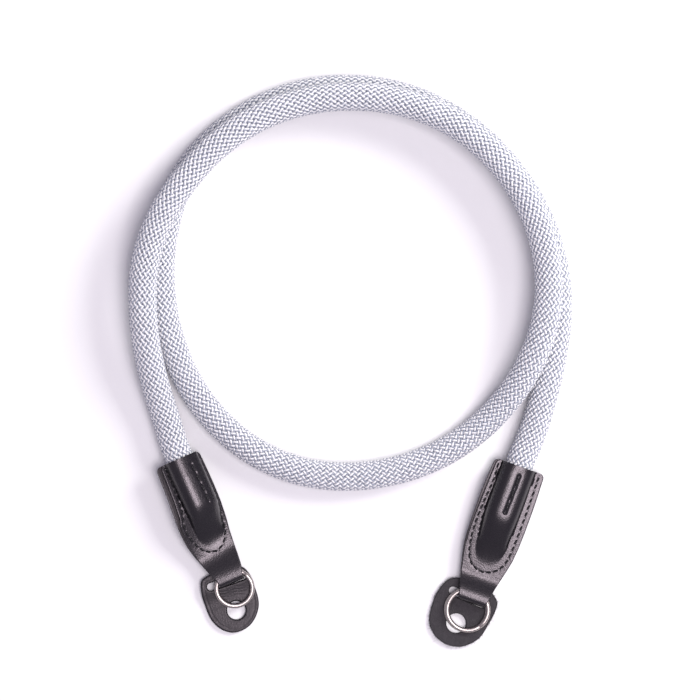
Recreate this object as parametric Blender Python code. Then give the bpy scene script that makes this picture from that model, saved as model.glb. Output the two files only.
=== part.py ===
"""Camera strap lying coiled on a flat surface.

A round braided rope runs from one leather end to the other in about one and three quarter turns.
Each leather end is one strip sewn round the rope, folded through the slot of a bumper pad and round
a split ring, and sewn back on itself. Metres, +Z up, the floor at z = 0.
"""

import math

import bmesh
import bpy
import numpy as np
from mathutils import Vector

# Driving sizes, in metres.
ROPE_DIAMETER = 0.012
ROPE_STEP = 0.0135
ROPE_IN_END = 0.021
LEATHER = 0.0011
PAD_THICKNESS = 0.0018
PAD_EDGE = 0.0004
WIRE = 0.0019
WIRE_GROOVE = 0.00015
CLEARANCE = 0.0003
RING_PLAY = 0.0004

# The tab's fold round the ring, and the way that it opens from the seam to take pad and ring.
FOLD_REACH = 0.003
CHANNEL_LENGTH = 0.008
FOLD_POWER = 3.0
FOLD_GAPS = 4
DOME_LENGTH = 0.034
POCKET_BEFORE_MOUTH = 0.0034

# The coil's centre on the floor.
COIL_CENTRE = (0.0, 0.1099)

# Sizes of the two ends. Angles are in degrees. Lean is the end's heading away from -Y, anticlockwise,
# roll lifts its left flange at the mouth, turn is the pad's own heading against the end's.
ENDS = {
    "left": {
        "mouth": (-0.0709, 0.0367), "lean": 23.8, "roll": 18.0,
        "length": 0.0558, "width": 0.0186, "fold_width": 0.0105, "seam_end": 0.0152,
        "dome_offset": -0.0012,
        "ring_diameter": 0.0166, "ring_offset": 0.0,
        "pad_length": 0.0263, "pad_width": 0.0219, "pad_turn": -5.0, "pad_offset": 0.0031,
        "hole_diameter": 0.0076, "hole_to_end": 0.0089, "hole_to_fold": 0.0109,
        "slot_length": 0.0168, "slot_width": 0.0041, "slot_before_fold": 0.0009,
    },
    "right": {
        "mouth": (0.0700, 0.0338), "lean": -19.8, "roll": 7.0,
        "length": 0.0598, "width": 0.0206, "fold_width": 0.0113, "seam_end": 0.0125,
        "dome_offset": 0.0007,
        "ring_diameter": 0.0188, "ring_offset": 0.0003,
        "pad_length": 0.0275, "pad_width": 0.0243, "pad_turn": -4.2, "pad_offset": 0.0028,
        "hole_diameter": 0.0081, "hole_to_end": 0.0096, "hole_to_fold": 0.0100,
        "slot_length": 0.0168, "slot_width": 0.0044, "slot_before_fold": 0.0009,
    },
}

# The leather strip's outline. Share of the end's length, and share of the way from the fold's width
# (0) to the mouth's width (1).
OUTLINE = [
    ("along", "wide"),
    (0.00, 1.00),
    (0.20, 1.03),
    (0.45, 1.04),
    (0.62, 0.99),
    (0.72, 0.87),
    (0.80, 0.66),
    (0.88, 0.40),
    (0.94, 0.18),
    (1.00, 0.00),
]

# The dome over the rope's end. Share of the dome's length, share of its height, share of its width.
DOME = [
    ("along", "high", "wide"),
    (0.00, 1.00, 1.00),
    (0.30, 1.00, 1.00),
    (0.62, 0.98, 1.00),
    (0.72, 0.83, 0.95),
    (0.82, 0.55, 0.86),
    (0.91, 0.25, 0.74),
    (1.00, 0.00, 0.60),
]

# The rope's centre line between the two leather ends: bearing in degrees about the coil's centre,
# anticlockwise from +X, distance from it and height of the centre line, both in millimetres.
ROUTE = [
    (217.1, 94.4, 7.4),
    (211.0, 91.5, 8.8),
    (204.7, 89.2, 11.3),
    (198.3, 87.4, 13.7),
    (191.8, 86.0, 15.3),
    (185.3, 85.0, 16.4),
    (178.0, 84.3, 17.1),
    (169.0, 82.8, 18.0),
    (159.0, 80.8, 18.5),
    (148.0, 78.6, 18.5),
    (135.0, 77.3, 18.4),
    (120.0, 76.2, 18.2),
    (104.0, 75.3, 18.0),
    (88.0, 75.0, 18.0),
    (72.0, 75.8, 18.1),
    (56.0, 76.9, 18.4),
    (40.0, 78.0, 18.5),
    (24.0, 79.3, 18.4),
    (10.0, 80.4, 18.0),
    (-2.0, 81.1, 18.0),
    (-12.0, 81.3, 17.4),
    (-22.0, 81.0, 15.9),
    (-31.0, 80.7, 12.7),
    (-40.0, 80.4, 9.2),
    (-50.0, 80.3, 6.7),
    (-62.0, 80.1, 6.0),
    (-76.0, 80.0, 6.0),
    (-90.0, 80.3, 6.0),
    (-105.0, 80.6, 6.0),
    (-120.0, 80.2, 6.0),
    (-134.0, 79.2, 6.0),
    (-146.0, 78.3, 6.0),
    (-158.0, 77.6, 6.0),
    (-170.0, 77.4, 6.0),
    (-182.0, 77.7, 6.0),
    (-194.0, 78.7, 6.0),
    (-207.0, 80.2, 6.0),
    (-220.0, 80.2, 6.0),
    (-236.0, 79.9, 6.0),
    (-252.0, 79.5, 6.0),
    (-268.0, 78.9, 6.0),
    (-284.0, 78.7, 6.0),
    (-300.0, 78.7, 6.0),
    (-315.0, 79.0, 6.0),
    (-330.0, 80.2, 6.0),
    (-344.0, 82.2, 6.0),
    (-356.0, 84.2, 6.0),
    (-365.2, 85.8, 6.0),
    (-371.7, 87.0, 6.0),
    (-378.2, 88.2, 6.0),
    (-384.5, 90.1, 6.0),
    (-390.7, 92.5, 6.0),
    (-396.6, 95.5, 6.3),
    (-402.5, 99.0, 6.9),
]
MILLIMETRE = 0.001

# Places of the rope's knots in a leather end, as shares of its length there: below 0 is outside.
KNOT_SHARES = (-0.2, 0.05, 0.5, 1.0)

# How square the pads and the ring's wire are: 2 draws an ellipse, more draws squarer corners.
PAD_FREE_POWER = 2.2
PAD_STRAP_POWER = 3.4
WIRE_POWER = 10 / 3

# Where the pad starts to bend up, past the hole's edge.
BEND_PAST_HOLE = 0.00054

# How finely round shapes are divided. The last angles keep the ends of a pad and a fold from closing
# to a point.
PAD_LAST_ANGLE = 85
FOLD_LAST_ANGLE = 84
SHARP_ANGLE = 40
HALVES = (0.5, 1.0)
DOME_SIDES = 8
FOLD_STEPS = 6
RING_SEGMENTS = 28
WIRE_SIDES = 12
HOLE_SIDES = 28
PAD_STEPS = 11

# Sizes worked out from the ones above.
ROPE_RADIUS = ROPE_DIAMETER / 2
POCKET_RADIUS = ROPE_RADIUS + CLEARANCE
DOME_RADIUS = POCKET_RADIUS + LEATHER
BAR_BOTTOM = LEATHER + CLEARANCE
BAR_TOP = BAR_BOTTOM + PAD_THICKNESS
FOLD_CEILING = BAR_TOP + WIRE + FOLD_GAPS * CLEARANCE
FOLD_HALF = (FOLD_CEILING + LEATHER) / 2

COLOURS = {
    "rope": ((0.72, 0.74, 0.78, 1.0), 0.85, 0.0),
    "smooth_leather": ((0.018, 0.018, 0.022, 1.0), 0.38, 0.0),
    "rough_leather": ((0.030, 0.029, 0.031, 1.0), 0.85, 0.0),
    "steel": ((0.62, 0.60, 0.58, 1.0), 0.28, 1.0),
}


def clear_scene():
    for item in list(bpy.data.objects):
        bpy.data.objects.remove(item, do_unlink=True)


def material(name):
    colour, roughness, metallic = COLOURS[name]
    made = bpy.data.materials.get(name) or bpy.data.materials.new(name)
    made.use_nodes = True
    shader = made.node_tree.nodes["Principled BSDF"]
    shader.inputs["Base Color"].default_value = colour
    shader.inputs["Roughness"].default_value = roughness
    shader.inputs["Metallic"].default_value = metallic
    return made


def smoothstep(value):
    value = min(max(value, 0.0), 1.0)
    return value * value * (3 - 2 * value)


def column(table, at, name):
    """Read one named column of a table at a place between its rows, by straight lines."""
    heads = table[0]
    rows = table[1:]
    return float(np.interp(at, [row[0] for row in rows], [row[heads.index(name)] for row in rows]))


def mesh_object(name, points, faces, finish, parent=None):
    mesh = bpy.data.meshes.new(name)
    mesh.from_pydata([tuple(point) for point in points], [], faces)
    work = bmesh.new()
    work.from_mesh(mesh)
    bmesh.ops.recalc_face_normals(work, faces=work.faces)
    work.to_mesh(mesh)
    work.free()
    mesh.shade_smooth()
    mesh.set_sharp_from_angle(angle=math.radians(SHARP_ANGLE))
    mesh.materials.append(material(finish))
    made = bpy.data.objects.new(name, mesh)
    bpy.context.scene.collection.objects.link(made)
    made.parent = parent
    return made


def loft(sections, closed=False):
    """Points and faces of a skin over rings of points, capped at both ends unless it closes."""
    count = len(sections[0])
    points = [point for section in sections for point in section]
    faces = []
    spans = len(sections) if closed else len(sections) - 1
    for row in range(spans):
        here = row * count
        there = (row + 1) % len(sections) * count
        for i in range(count):
            j = (i + 1) % count
            faces.append((here + i, here + j, there + j, there + i))
    if not closed:
        faces.append(tuple(reversed(range(count))))
        faces.append(tuple(range(len(points) - count, len(points))))
    return points, faces


def cut(target, cutter):
    cutter.hide_render = True
    cutter.display_type = "WIRE"
    modifier = target.modifiers.new("cut_" + cutter.name, "BOOLEAN")
    modifier.operation = "DIFFERENCE"
    modifier.solver = "EXACT"
    modifier.object = cutter


def axis_height(end, along):
    """Height of the strip's middle plane: level over the rope, then down to the fold's middle."""
    start = ROPE_IN_END
    stop = end["length"] - CHANNEL_LENGTH
    share = smoothstep((along - start) / (stop - start))
    return DOME_RADIUS + (FOLD_HALF - DOME_RADIUS) * share


def opening_share(end, along):
    """How far the tab's two legs have parted: 0 at the seam's end, 1 where they hold pad and ring."""
    seam = end["length"] - end["seam_end"]
    full = end["length"] - CHANNEL_LENGTH
    return min(max((along - seam) / (full - seam), 0.0), 1.0)


def fold_rounding(end, along):
    """Share of the fold's half height left at a place near its tip."""
    inside = (along - (end["length"] - FOLD_REACH)) / FOLD_REACH
    if inside <= 0:
        return 1.0
    return max(1 - min(inside, 1.0) ** FOLD_POWER, 0.0) ** (1 / FOLD_POWER)


def strip_half_width(end, along):
    narrow = end["fold_width"] / 2
    wide = end["width"] / 2
    return narrow + (wide - narrow) * column(OUTLINE, along / end["length"], "wide")


def strip_stations(end):
    """Places along the strip where a section is drawn, from the mouth to the fold's tip."""
    dome = [row[0] * DOME_LENGTH for row in DOME[1:]]
    seam = end["length"] - end["seam_end"]
    full = end["length"] - CHANNEL_LENGTH
    round_start = end["length"] - FOLD_REACH
    between = [DOME_LENGTH + (seam - DOME_LENGTH) * share for share in HALVES]
    legs = [seam + (full - seam) * share for share in HALVES]
    tip = []
    for step in range(FOLD_STEPS + 1):
        angle = math.radians(FOLD_LAST_ANGLE) * step / FOLD_STEPS
        tip.append(round_start + FOLD_REACH * math.sin(angle))
    return dome + between + legs + [(full + round_start) / 2] + tip


def strip_section(end, along):
    """One ring of points round the strip: over the top from left to right, back underneath."""
    half_width = strip_half_width(end, along)
    dome_share = column(DOME, along / DOME_LENGTH, "high")
    dome_half = DOME_RADIUS * column(DOME, along / DOME_LENGTH, "wide")
    rise = LEATHER + (DOME_RADIUS - LEATHER) * dome_share
    flange = LEATHER + (FOLD_HALF - LEATHER) * opening_share(end, along)
    flange *= fold_rounding(end, along)
    middle = axis_height(end, along)
    roll = math.radians(end["roll"]) * (1 - smoothstep(along / (end["length"] - end["seam_end"])))
    profile = [(half_width, flange)]
    for side in range(DOME_SIDES + 1):
        angle = math.pi * (0.5 - side / DOME_SIDES)
        across = end["dome_offset"] * dome_share + dome_half * math.sin(angle)
        profile.append((across, max(rise * math.cos(angle), flange)))
    profile.append((-half_width, flange))
    ring = profile + [(across, -height) for across, height in reversed(profile)]
    pivot = end["dome_offset"] * dome_share
    points = []
    for across, height in ring:
        turned = pivot + (across - pivot) * math.cos(roll) - height * math.sin(roll)
        lifted = (across - pivot) * math.sin(roll) + height * math.cos(roll)
        points.append((turned, along, middle + lifted))
    return points


def pocket_sections(end):
    """The hollow that the rope's end sits in: one leather thickness inside the dome."""
    sections = []
    places = [-POCKET_BEFORE_MOUTH] + [row[0] * DOME_LENGTH for row in DOME[1:-1]]
    for along in places:
        high = POCKET_RADIUS * column(DOME, along / DOME_LENGTH, "high")
        wide = DOME_RADIUS * column(DOME, along / DOME_LENGTH, "wide") - LEATHER
        middle = axis_height(end, along)
        ring = []
        for side in range(2 * DOME_SIDES):
            angle = math.pi * side / DOME_SIDES
            across = end["dome_offset"] + wide * math.cos(angle)
            ring.append((across, along, middle + high * math.sin(angle)))
        sections.append(ring)
    return sections


def channel_sections(end):
    """The gap between the tab's legs, a profile seen from the side and run right across."""
    seam = end["length"] - end["seam_end"]
    full = end["length"] - CHANNEL_LENGTH
    inner_half = FOLD_HALF - LEATHER
    inner_reach = FOLD_REACH - LEATHER
    round_start = end["length"] - FOLD_REACH
    seam_gap = CLEARANCE / 2
    upper = [(seam, seam_gap), (full, inner_half)]
    for step in range(FOLD_STEPS + 1):
        angle = math.pi / 2 * step / FOLD_STEPS
        share = math.sin(angle)
        height = max(1 - share ** FOLD_POWER, 0.0) ** (1 / FOLD_POWER)
        upper.append((round_start + inner_reach * share, inner_half * height))
    lower = [(along, -height) for along, height in reversed(upper[:-1])]
    reach = end["width"]
    sections = []
    for across in (-reach, reach):
        sections.append([
            (across, along, axis_height(end, along) + height) for along, height in upper + lower
        ])
    return sections


def make_leather_end(side, end, root):
    stations = strip_stations(end)
    points, faces = loft([strip_section(end, along) for along in stations])
    strip = mesh_object("leather_end_" + side, points, faces, "smooth_leather", root)
    points, faces = loft(pocket_sections(end))
    cut(strip, mesh_object("pocket_" + side, points, faces, "smooth_leather", root))
    points, faces = loft(channel_sections(end))
    cut(strip, mesh_object("channel_" + side, points, faces, "smooth_leather", root))
    return strip


def pad_lift(end, from_hole):
    """How far the pad has bent up off the floor, from flat round the hole to the upper bar."""
    near = end["hole_diameter"] / 2 + BEND_PAST_HOLE
    far = slot_limits(end)[1]
    return BAR_BOTTOM * smoothstep((from_hole - near) / (far - near))


def slot_limits(end):
    """The slot's lower and upper edge, measured from the lug hole's centre towards the strap."""
    low = end["hole_to_fold"] - end["slot_before_fold"]
    return low, low + end["slot_width"]


def pad_outline(end):
    """Half widths of the egg-shaped pad: rounder at the free end, squarer at the strap."""
    half_length = end["pad_length"] / 2
    half_width = end["pad_width"] / 2
    middle = half_length - end["hole_to_end"]
    rows = []
    for step in range(-PAD_STEPS, PAD_STEPS + 1):
        angle = math.radians(PAD_LAST_ANGLE) * step / PAD_STEPS
        power = PAD_FREE_POWER if step < 0 else PAD_STRAP_POWER
        along = math.copysign(abs(math.sin(angle)) ** (2 / power), angle)
        rows.append((middle + half_length * along, half_width * math.cos(angle) ** (2 / power)))
    return rows


def pad_section(end, from_hole, half_width):
    """A flat bar with chamfered long edges, lifted by the bend."""
    base = pad_lift(end, from_hole)
    edge = min(PAD_EDGE, PAD_THICKNESS / 3)
    heights = (base, base + edge, base + PAD_THICKNESS - edge, base + PAD_THICKNESS)
    inner = half_width - edge
    ring = [
        (inner, heights[0]), (half_width, heights[1]), (half_width, heights[2]), (inner, heights[3]),
        (-inner, heights[3]), (-half_width, heights[2]), (-half_width, heights[1]), (-inner, heights[0]),
    ]
    return [(across, -from_hole, height) for across, height in ring]


def cylinder_cutter(name, outline, root):
    """An upright prism over an outline, tall enough to pass through the whole pad."""
    sections = []
    for height in (-PAD_THICKNESS, BAR_TOP + PAD_THICKNESS):
        sections.append([(x, y, height) for x, y in outline])
    points, faces = loft(sections)
    return mesh_object(name, points, faces, "rough_leather", root)


def make_bumper(side, end, root, finish):
    holder = bpy.data.objects.new("pad_place_" + side, None)
    bpy.context.scene.collection.objects.link(holder)
    holder.parent = root
    holder.location = (end["pad_offset"], end["length"] + end["hole_to_fold"], 0.0)
    holder.rotation_euler = (0.0, 0.0, math.radians(end["pad_turn"]))
    sections = [pad_section(end, along, half) for along, half in pad_outline(end)]
    points, faces = loft(sections)
    pad = mesh_object("bumper_" + side, points, faces, finish, holder)
    radius = end["hole_diameter"] / 2
    hole = []
    for i in range(HOLE_SIDES):
        angle = 2 * math.pi * i / HOLE_SIDES
        hole.append((radius * math.cos(angle), radius * math.sin(angle)))
    cut(pad, cylinder_cutter("lug_hole_" + side, hole, holder))
    low, high = slot_limits(end)
    corner = (high - low) / 2
    straight = end["slot_length"] / 2 - corner
    slot = []
    for i in range(HOLE_SIDES):
        angle = 2 * math.pi * (i + 0.5) / HOLE_SIDES
        x = math.copysign(straight, math.cos(angle)) + corner * math.cos(angle)
        slot.append((x, -(low + high) / 2 + corner * math.sin(angle)))
    cut(pad, cylinder_cutter("slot_" + side, slot, holder))
    return pad


def ring_reach(end):
    """How far the ring's middle lies past the fold's tip, with its wire just clear of the fold."""
    inner_radius = end["ring_diameter"] / 2 - WIRE
    half_chord = end["fold_width"] / 2 + abs(end["ring_offset"])
    depth = math.sqrt(max(inner_radius ** 2 - half_chord ** 2, 0.0))
    return depth - LEATHER - RING_PLAY


def ring_heights(end):
    """Height of the ring's middle and its tilt: it leans from the pad's upper bar down to the pad."""
    radius = (end["ring_diameter"] - WIRE) / 2
    bar_edge = slot_limits(end)[1] - end["hole_to_fold"] + ring_reach(end)
    on_bar = BAR_TOP + CLEARANCE + WIRE / 2
    on_pad = PAD_THICKNESS + CLEARANCE + WIRE / 2
    slope = (on_bar - on_pad) / (bar_edge + radius)
    return on_pad + radius * slope, math.atan(slope)


def make_ring(side, end, root):
    """A two-turn split ring as one closed ring, with the groove between its turns."""
    radius = (end["ring_diameter"] - WIRE) / 2
    sections = []
    for i in range(RING_SEGMENTS):
        around = 2 * math.pi * i / RING_SEGMENTS
        section = []
        for j in range(WIRE_SIDES):
            angle = 2 * math.pi * j / WIRE_SIDES
            out = math.copysign(abs(math.cos(angle)) ** (2 / WIRE_POWER), math.cos(angle)) * WIRE / 2
            up = math.copysign(abs(math.sin(angle)) ** (2 / WIRE_POWER), math.sin(angle)) * WIRE / 2
            if j % (WIRE_SIDES // 2) == 0:
                out -= math.copysign(WIRE_GROOVE, out)
            reach = radius + out
            section.append((reach * math.cos(around), reach * math.sin(around), up))
        sections.append(section)
    points, faces = loft(sections, closed=True)
    ring = mesh_object("ring_" + side, points, faces, "steel", root)
    height, tilt = ring_heights(end)
    ring.location = (end["ring_offset"], end["length"] + ring_reach(end), height)
    ring.rotation_euler = (-tilt, 0.0, 0.0)
    return ring


def end_root(side, end):
    root = bpy.data.objects.new("end_place_" + side, None)
    bpy.context.scene.collection.objects.link(root)
    root.location = (end["mouth"][0], end["mouth"][1], 0.0)
    root.rotation_euler = (0.0, 0.0, math.radians(end["lean"] + 180))
    return root


def inside_end(end, depth):
    """A point of the rope's centre line in a leather end, or before its mouth if depth is negative."""
    lean = math.radians(end["lean"])
    x, y = end["mouth"]
    x += depth * math.sin(lean) - end["dome_offset"] * math.cos(lean)
    y -= depth * math.cos(lean) + end["dome_offset"] * math.sin(lean)
    return Vector((x, y, DOME_RADIUS))


def route_points():
    """The rope's own points, from inside the left end to inside the right one."""
    points = [inside_end(ENDS["left"], ROPE_IN_END * share) for share in reversed(KNOT_SHARES)]
    for bearing, distance, height in ROUTE:
        angle = math.radians(bearing)
        reach = distance * MILLIMETRE
        x = COIL_CENTRE[0] + reach * math.cos(angle)
        y = COIL_CENTRE[1] + reach * math.sin(angle)
        points.append(Vector((x, y, height * MILLIMETRE)))
    points += [inside_end(ENDS["right"], ROPE_IN_END * share) for share in KNOT_SHARES]
    return points


def smooth_curve(points, fine=12):
    """A smooth curve through points: cubic pieces with Catmull-Rom tangents by chord length."""
    knots = np.array([tuple(point) for point in points])
    chord = np.linalg.norm(np.diff(knots, axis=0), axis=1)
    along = np.concatenate([[0.0], np.cumsum(chord)])
    slopes = np.gradient(knots, along, axis=0)
    drawn = []
    for i, length in enumerate(chord):
        for step in range(fine):
            t = step / fine
            h00 = 2 * t ** 3 - 3 * t ** 2 + 1
            h10 = t ** 3 - 2 * t ** 2 + t
            h01 = -2 * t ** 3 + 3 * t ** 2
            h11 = t ** 3 - t ** 2
            drawn.append(h00 * knots[i] + h10 * length * slopes[i]
                         + h01 * knots[i + 1] + h11 * length * slopes[i + 1])
    drawn.append(knots[-1])
    return np.array(drawn)


def even_steps(curve, step):
    """Points at even steps along a finely drawn curve, both ends kept."""
    length = np.linalg.norm(np.diff(curve, axis=0), axis=1)
    along = np.concatenate([[0.0], np.cumsum(length)])
    count = max(int(round(along[-1] / step)), 2)
    places = np.linspace(0.0, along[-1], count + 1)
    return np.stack([np.interp(places, along, curve[:, k]) for k in range(3)], axis=1)


def make_rope():
    points = even_steps(smooth_curve(route_points()), ROPE_STEP)
    curve = bpy.data.curves.new("rope", "CURVE")
    curve.dimensions = "3D"
    curve.bevel_depth = ROPE_RADIUS
    curve.bevel_resolution = 4
    curve.use_fill_caps = True
    spline = curve.splines.new("POLY")
    spline.points.add(len(points) - 1)
    for i, point in enumerate(points):
        spline.points[i].co = (point[0], point[1], point[2], 1.0)
    spline.use_smooth = True
    curve.materials.append(material("rope"))
    rope = bpy.data.objects.new("rope", curve)
    bpy.context.scene.collection.objects.link(rope)
    return rope


def build():
    clear_scene()
    make_rope()
    finishes = {"left": "smooth_leather", "right": "rough_leather"}
    for side, end in ENDS.items():
        root = end_root(side, end)
        make_leather_end(side, end, root)
        make_bumper(side, end, root, finishes[side])
        make_ring(side, end, root)


build()
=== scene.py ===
"""Looks for a camera strap that lies coiled on a white table.

The braided rope, the two leather ends with their stitches, the bumper pads and the split rings are
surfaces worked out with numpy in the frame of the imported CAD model. Lengths are in metres.
"""

import math

import bpy
import numpy as np
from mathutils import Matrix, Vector
from mathutils.geometry import delaunay_2d_cdt


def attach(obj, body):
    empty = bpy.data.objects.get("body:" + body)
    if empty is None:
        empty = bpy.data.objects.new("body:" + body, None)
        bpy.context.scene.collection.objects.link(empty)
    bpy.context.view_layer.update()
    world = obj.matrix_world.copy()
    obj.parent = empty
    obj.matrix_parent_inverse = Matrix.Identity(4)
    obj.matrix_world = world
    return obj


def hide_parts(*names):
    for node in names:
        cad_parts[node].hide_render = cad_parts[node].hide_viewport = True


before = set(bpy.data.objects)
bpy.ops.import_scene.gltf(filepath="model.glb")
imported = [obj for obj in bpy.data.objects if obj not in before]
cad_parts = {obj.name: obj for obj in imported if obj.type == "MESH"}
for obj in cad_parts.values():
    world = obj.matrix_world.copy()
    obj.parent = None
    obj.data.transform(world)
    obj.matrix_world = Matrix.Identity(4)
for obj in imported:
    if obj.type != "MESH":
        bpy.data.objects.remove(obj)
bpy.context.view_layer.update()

MM = 0.001

# Sizes shared with the CAD model.
ROPE_DIAMETER = 0.012
LEATHER = 0.0011
PAD_THICKNESS = 0.0018
WIRE = 0.0019
CLEARANCE = 0.0003
RING_PLAY = 0.0004
FOLD_REACH = 0.003
FOLD_POWER = 3.0
ROPE_IN_END = 0.021
POCKET_RADIUS = ROPE_DIAMETER / 2 + CLEARANCE
DOME_RADIUS = POCKET_RADIUS + LEATHER
BAR_BOTTOM = LEATHER + CLEARANCE
BAR_TOP = BAR_BOTTOM + PAD_THICKNESS
FOLD_HALF = (BAR_TOP + WIRE + 4 * CLEARANCE + LEATHER) / 2

# How the leather of the two ends is bent: its slope to the fold, the dome over the rope with the fillet
# at its foot, and how softly the underside is pressed on the table.
SLOPE_START = 0.008
EASED = 0.3
DOME_POWER = 2.5
DOME_END_WIDTH = 0.75
FILLET = 0.0018
LEAST_FILLET = 0.0002
PRESSED = 0.0004

# The centre line of the rope, from inside the left leather end to inside the right one.
ROPE_ROUTE = [
    (-0.0613, 0.0180, 0.0074), (-0.0656, 0.0276, 0.0074), (-0.0694, 0.0362, 0.0074),
    (-0.0715, 0.0410, 0.0074), (-0.0753, 0.0530, 0.0074), (-0.0784, 0.0628, 0.0088),
    (-0.0810, 0.0726, 0.0113), (-0.0830, 0.0825, 0.0137), (-0.0842, 0.0923, 0.0153),
    (-0.0846, 0.1020, 0.0164), (-0.0842, 0.1128, 0.0171), (-0.0813, 0.1257, 0.0180),
    (-0.0754, 0.1389, 0.0185), (-0.0667, 0.1516, 0.0185), (-0.0547, 0.1646, 0.0184),
    (-0.0381, 0.1759, 0.0182), (-0.0182, 0.1830, 0.0180), (0.0026, 0.1849, 0.0180),
    (0.0234, 0.1820, 0.0181), (0.0430, 0.1737, 0.0184), (0.0598, 0.1600, 0.0185),
    (0.0724, 0.1422, 0.0184), (0.0792, 0.1239, 0.0180), (0.0811, 0.1071, 0.0180),
    (0.0795, 0.0930, 0.0174), (0.0751, 0.0796, 0.0159), (0.0692, 0.0683, 0.0127),
    (0.0616, 0.0582, 0.0092), (0.0516, 0.0484, 0.0067), (0.0376, 0.0392, 0.0060),
    (0.0194, 0.0323, 0.0060), (0.0000, 0.0296, 0.0060), (-0.0209, 0.0320, 0.0060),
    (-0.0401, 0.0404, 0.0060), (-0.0550, 0.0529, 0.0060), (-0.0649, 0.0661, 0.0060),
    (-0.0719, 0.0808, 0.0060), (-0.0762, 0.0965, 0.0060), (-0.0777, 0.1126, 0.0060),
    (-0.0764, 0.1289, 0.0060), (-0.0715, 0.1463, 0.0060), (-0.0614, 0.1615, 0.0060),
    (-0.0447, 0.1761, 0.0060), (-0.0246, 0.1855, 0.0060), (-0.0028, 0.1888, 0.0060),
    (0.0190, 0.1863, 0.0060), (0.0393, 0.1781, 0.0060), (0.0559, 0.1658, 0.0060),
    (0.0695, 0.1500, 0.0060), (0.0790, 0.1326, 0.0060), (0.0840, 0.1158, 0.0060),
    (0.0854, 0.1021, 0.0060), (0.0852, 0.0923, 0.0060), (0.0838, 0.0824, 0.0060),
    (0.0820, 0.0725, 0.0060), (0.0795, 0.0627, 0.0060), (0.0767, 0.0530, 0.0063),
    (0.0730, 0.0430, 0.0069), (0.0708, 0.0380, 0.0074), (0.0690, 0.0330, 0.0074),
    (0.0658, 0.0242, 0.0074), (0.0622, 0.0143, 0.0074),
]
TABLE_SIZE = 3.0
TABLE_DROP = 0.0001
TABLE_MIDDLE = (0.0, 0.08, 0.0)

# The braid: sixteen strands each way, two yarns to a strand, one over and one under.
BRAID_ROWS = 32
BRAID_STEP = 0.00148
BRAID_ANGLE = math.radians(38.5)
WHITE_AHEAD = 0.00034
GREY_BEHIND = 0.00062
WHITE_HALF_WIDTH = 0.00061
GREY_HALF_WIDTH = 0.00048
YARN_HALF_LENGTH = 0.00150
CORE_RADIUS = 0.00505
CORE_SIDES = 32
CORE_STEP = 0.0012
YARN_RISE = 0.00100
YARN_SUNK = 0.00004
YARN_TAPER = 0.35
PILLOW_POWER = 2.6
PILLOW_ALONG = np.array([-1.0, -0.6, 0.0, 0.6, 1.0])
PILLOW_ACROSS = np.array([-1.0, -0.52, 0.52, 1.0])
PILLOW_ASPECT = 1.4
# Each yarn differs a little from the others: shares of its length and rise, and a turn.
YARN_STRETCH = (0.93, 1.07)
YARN_SWELL = (0.92, 1.05)
YARN_TURN = math.radians(2.0)
# The stitches squeeze the rope inside the leather to this share of its size.
SQUEEZED = 0.8
SQUEEZE_RUN = 0.0035

# Stitches, and how they mark the leather.
STITCH_PITCH = 0.0030
STITCH_SLANT = math.radians(9.0)
STITCH_SHARE = 0.80
STITCH_PLACES = np.array([0.0, 0.06, 0.18, 0.35, 0.5, 0.65, 0.82, 0.94, 1.0])
STITCH_ARC = 0.0007
STITCH_SINK = 0.9
SEAM_THREAD = 0.00044
SEAM_LIFT = 0.00004
ROW_THREAD = 0.00058
ROW_LIFT = -0.00005
THREAD_SIDES = 8
THREAD_TIP = 0.000004
THREAD_UV = (4.0, 2.0)
SEAM_GROOVE = 0.00004
SEAM_REACH = 0.0006
SEAM_HOLE = 0.00015
SEAM_HOLE_REACH = 0.00030
ROW_REACH = 0.00065
ROW_HOLE = 0.00020
ROW_HOLE_REACH = 0.0006
ROW_PULL_REACH = 0.0030

# The leather strip's edges, and how finely it is divided.
EDGE_ROUND = 0.00035
EDGE_DEPTHS = np.array([0.0, 0.15, 0.5, 1.0])
INNER_ROUND = 0.4
HALF_GAP = 0.00003
THINNEST = 0.0002
MOUTH_CORNER = 0.0020
MOUTH_ROWS = np.array([0.0, 0.05, 0.15, 0.3, 0.5, 0.75, 1.05, 1.4, 1.8]) * MM
NEXT_ROW = 0.0022
UPPER_STEP = 0.00036
LOWER_STEP = 0.0010
ROWS_BEFORE_FOLD = 0.0001
ACROSS_STEPS = 58
FOLD_ROWS = 15

# The split rings: how far the wire goes round and where it steps up, in turns; the distance between the
# two turns and half the section's height, as shares of the wire; and the tapered tips.
RING_STEPS = 150
RING_SIDES = 16
RING_TURNS = 1.985
RING_STEP_AT = 0.94
RING_STEP_RUN = 0.09
RING_TURN_GAP = 0.50
RING_HALF_HEIGHT = 0.36
RING_TAPER_RUN = 0.10
RING_TIP = 0.7

# The bumper pads: the rim and walls, the grid of their faces, the slot and the outline's ripple.
PAD_RIM = 0.00045
PAD_WALL_ANGLES = np.radians([40.0, 90.0, 90.0, 40.0])
PAD_WALL_DEPTHS = PAD_RIM * np.array([0.35, 1.2])
PAD_STEP = 0.0004
PAD_GRID = 0.00042
PAD_GRID_HALF = 0.02
PAD_GRID_CLEAR = 0.55
PAD_FLAT_PAST_HOLE = 0.3
LOOP_STEPS = 64
RIPPLE_POINTS = 9
SLOT_CLOSED = 0.0009

# Loose fibres on a pad's cut edge: how many, their size, and how far they spread, bend and lift.
PAD_FIBRES = 1400
FIBRE_POINTS = 4
FIBRE_RADIUS = 0.000035
FIBRE_THINS = 0.8
FIBRE_LENGTH = 0.00016
FIBRE_ROOT = 0.0001
FIBRE_SPREAD = 0.7
FIBRE_BEND = 0.9
FIBRE_LIFT = 0.5
FIBRE_LOWEST = 0.00005
FIBRE_START = 0.0003
HALF_WORN = 0.5

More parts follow.
